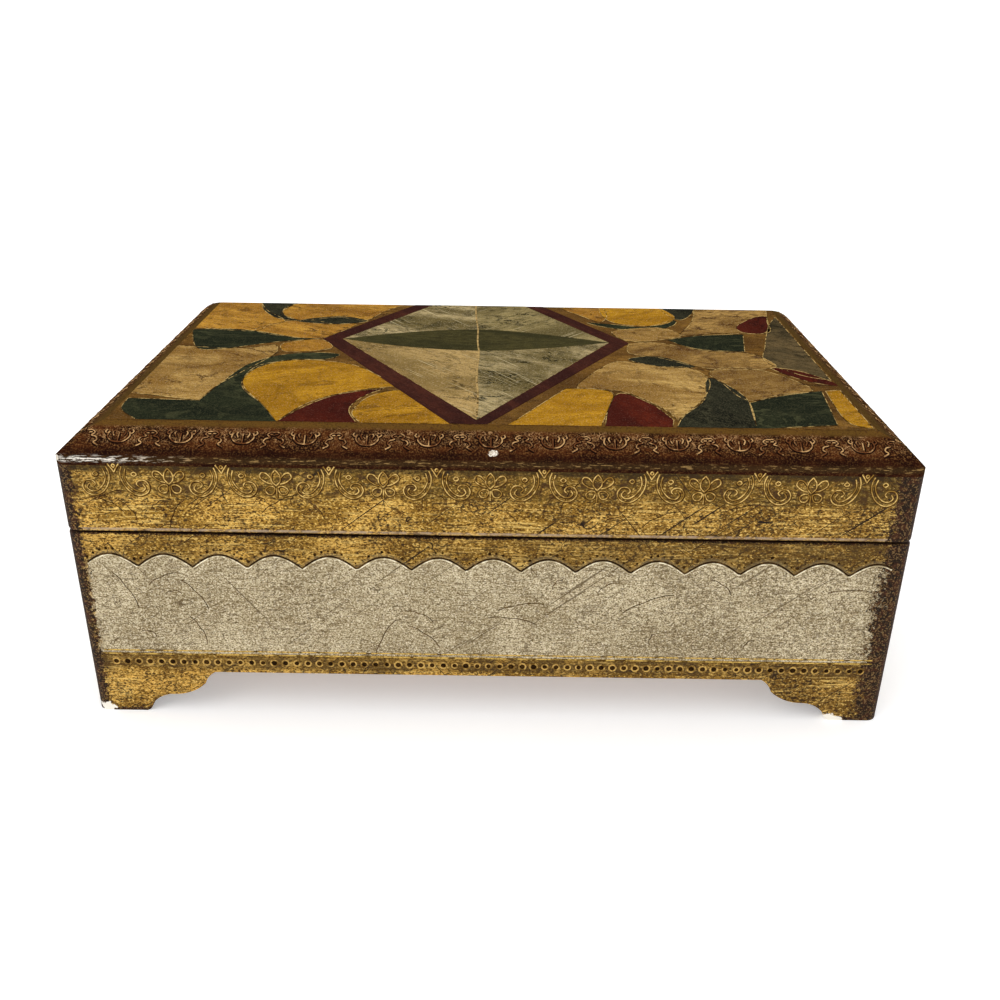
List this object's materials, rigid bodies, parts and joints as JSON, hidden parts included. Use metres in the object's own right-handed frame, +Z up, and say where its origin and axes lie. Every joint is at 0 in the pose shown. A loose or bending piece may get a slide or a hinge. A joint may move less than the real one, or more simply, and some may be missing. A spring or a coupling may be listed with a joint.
{
  "type": "musical jewelry box",
  "caption": "Gilded wooden jewelry box on bracket feet, with a hinged lid, two velvet wells and a key-wound cylinder music movement under a clear pane.",
  "frame": {"origin": "on the table under the middle of the box's footprint", "axes": "+X along the length to the right, front face towards -Y, +Z up"},
  "size_m": [0.203, 0.129, 0.0772],
  "materials": {
    "gilded_wood": "gold and silver leaf, worn",
    "bare_wood": "plain sanded softwood",
    "printed_paper": "varnished print of stone inlay",
    "velvet": "padded velvet",
    "velvet_card": "velvet-covered card",
    "clear_sheet": "clear sheet",
    "brass": "lacquered",
    "steel": "ground",
    "cast_bed": "gilt-bronzed cast zinc"
  },
  "bodies": {
    "carcass": {"front_board": "gilded_wood", "back_board": "gilded_wood", "left_board": "gilded_wood", "right_board": "gilded_wood", "bottom_board": "bare_wood", "long_partition": "bare_wood", "cross_partition": "bare_wood", "cover_ledges": "bare_wood", "large_well_pad": "velvet", "small_well_pad": "velvet", "large_well_lining": "velvet_card", "small_well_lining": "velvet_card", "movement_cover": "clear_sheet", "left_hinge_lower_leaf": "brass", "right_hinge_lower_leaf": "brass", "left_bearing_post": "brass", "right_bearing_post": "brass", "governor_frame": "brass", "left_hinge_pin": "steel", "right_hinge_pin": "steel", "lower_hinge_screws": "steel", "bedplate_screws": "steel", "bearing_post_screws": "steel", "comb_screws": "steel", "governor_screws": "steel", "comb": "steel", "stop_lever_screw": "steel", "bedplate": "cast_bed", "comb_heel": "cast_bed"},
    "lid": {"lid_front_rim": "gilded_wood", "lid_back_rim": "gilded_wood", "lid_left_rim": "gilded_wood", "lid_right_rim": "gilded_wood", "lid_top_board": "gilded_wood", "inlay_print": "printed_paper", "lid_lining_frame": "velvet_card", "lid_pad": "velvet", "left_hinge_upper_leaf": "brass", "right_hinge_upper_leaf": "brass", "upper_hinge_screws": "steel"},
    "cylinder": {"cylinder_drum": "brass", "cylinder_arbor": "steel", "cylinder_pinion": "steel", "cylinder_gear": "brass"},
    "barrel": {"spring_barrel": "brass", "barrel_cap": "brass", "mainspring": "steel"},
    "governor_wheel": {"governor_arbor": "steel", "worm_wheel": "brass"},
    "fly": {"fly_worm": "steel", "fly_blades": "steel"},
    "key": {"winding_key": "steel", "winding_arbor": "steel"},
    "stop_wire": {"stop_lever": "steel"}
  },
  "joints": [
    {"name": "lid_hinge", "type": "hinge", "parent": "carcass", "child": "lid", "pos_m": [0, 0.0623, 0.05185], "axis": [-1, 0, 0], "range_deg": [0, 98]},
    {"name": "cylinder_turn", "type": "hinge", "parent": "carcass", "child": "cylinder", "pos_m": [-0.075, 0.031, 0.03392], "axis": [-1, 0, 0], "continuous": true},
    {"name": "barrel_turn", "type": "hinge", "parent": "carcass", "child": "barrel", "pos_m": [-0.0495, 0.031, 0.0218], "axis": [0, 0, 1], "continuous": true},
    {"name": "governor_wheel_turn", "type": "hinge", "parent": "carcass", "child": "governor_wheel", "pos_m": [-0.0876, 0.04018, 0.02964], "axis": [1, 0, 0], "continuous": true},
    {"name": "fly_turn", "type": "hinge", "parent": "carcass", "child": "fly", "pos_m": [-0.0876, 0.04538, 0.02964], "axis": [0, 0, -1], "continuous": true},
    {"name": "key_turn", "type": "hinge", "parent": "carcass", "child": "key", "pos_m": [-0.0495, 0.031, 0.019], "axis": [0, 0, 1], "continuous": true},
    {"name": "stop_wire_swing", "type": "hinge", "parent": "carcass", "child": "stop_wire", "pos_m": [-0.09275, 0.012, 0.04046], "axis": [1, 0, 0], "range_deg": [0, 4]}
  ],
  "couplings": [
    {"joint": "barrel_turn", "follows": "cylinder_turn", "ratio": 0.25},
    {"joint": "governor_wheel_turn", "follows": "cylinder_turn", "ratio": 4},
    {"joint": "fly_turn", "follows": "cylinder_turn", "ratio": 64},
    {"joint": "stop_wire_swing", "follows": "lid_hinge", "ratio": 0.04}
  ]
}
